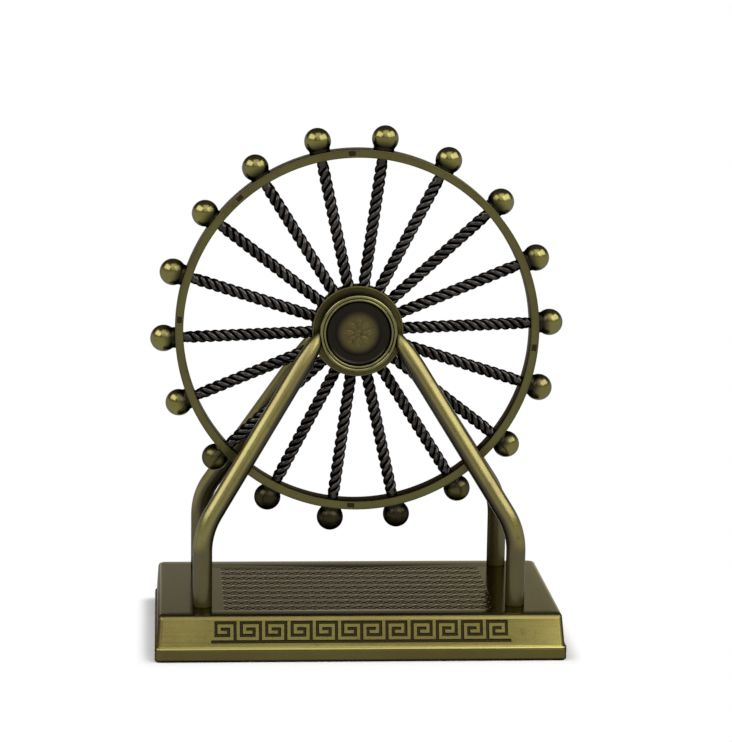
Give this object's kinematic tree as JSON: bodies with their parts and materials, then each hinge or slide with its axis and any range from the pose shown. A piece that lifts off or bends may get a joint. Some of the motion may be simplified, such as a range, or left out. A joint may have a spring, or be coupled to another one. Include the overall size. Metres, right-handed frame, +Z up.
{
  "type": "model ferris wheel",
  "caption": "Desk-top ferris wheel with twisted spokes and balls round the rim, turning by hand on an axle between two bent-bar A-frames over a rectangular base.",
  "frame": {"origin": "centre of the base's underside, on the surface that the model stands on", "axes": "+Z up, +X to the right seen from the front; the front of the base, with its sloped strip, faces -Y and the wheel's axle lies along Y"},
  "size_m": [0.123, 0.0676, 0.1525],
  "materials": {
    "base_bronze": "antiqued cast bronze plate, satin",
    "leg_bronze": "antiqued bronze plate, soft polish",
    "cup_bronze": "antiqued bronze plate, soft polish",
    "disc_bronze": "dark patina",
    "hub_bronze": "antiqued bronze plate, dark satin",
    "rim_bronze": "antiqued bronze plate, satin",
    "spoke_bronze": "near-black patina, satin",
    "ball_bronze": "antiqued bronze plate, polished",
    "washer_brass": "plain brass",
    "steel": "plain",
    "felt": "black felt"
  },
  "bodies": {
    "stand": {"base_casting": "base_bronze", "base_pad": "felt", "foot_screws": "steel", "front_left_leg": "leg_bronze", "front_right_leg": "leg_bronze", "rear_left_leg": "leg_bronze", "rear_right_leg": "leg_bronze", "front_bearing_cup": "cup_bronze", "rear_bearing_cup": "cup_bronze", "front_cap_disc": "disc_bronze", "rear_cap_disc": "disc_bronze", "axle_bolt": "steel", "axle_nut": "steel", "thrust_washers": "washer_brass"},
    "wheel": {"hub_bush": "washer_brass", "hub_drum": "hub_bronze", "front_hub_flange": "hub_bronze", "rear_hub_flange": "hub_bronze", "wheel_rim": "rim_bronze", "spoke_01": "spoke_bronze", "spoke_02": "spoke_bronze", "spoke_03": "spoke_bronze", "spoke_04": "spoke_bronze", "spoke_05": "spoke_bronze", "spoke_06": "spoke_bronze", "spoke_07": "spoke_bronze", "spoke_08": "spoke_bronze", "spoke_09": "spoke_bronze", "spoke_10": "spoke_bronze", "spoke_11": "spoke_bronze", "spoke_12": "spoke_bronze", "spoke_13": "spoke_bronze", "spoke_14": "spoke_bronze", "spoke_15": "spoke_bronze", "spoke_16": "spoke_bronze", "spoke_17": "spoke_bronze", "spoke_18": "spoke_bronze", "cabin_ball_01": "ball_bronze", "cabin_ball_02": "ball_bronze", "cabin_ball_03": "ball_bronze", "cabin_ball_04": "ball_bronze", "cabin_ball_05": "ball_bronze", "cabin_ball_06": "ball_bronze", "cabin_ball_07": "ball_bronze", "cabin_ball_08": "ball_bronze", "cabin_ball_09": "ball_bronze", "cabin_ball_10": "ball_bronze", "cabin_ball_11": "ball_bronze", "cabin_ball_12": "ball_bronze", "cabin_ball_13": "ball_bronze", "cabin_ball_14": "ball_bronze", "cabin_ball_15": "ball_bronze", "cabin_ball_16": "ball_bronze", "cabin_ball_17": "ball_bronze", "cabin_ball_18": "ball_bronze"}
  },
  "joints": [
    {"name": "wheel_spin", "type": "hinge", "parent": "stand", "child": "wheel", "pos_m": [0, 0.00395, 0.09135], "axis": [0, 1, 0], "continuous": true}
  ]
}
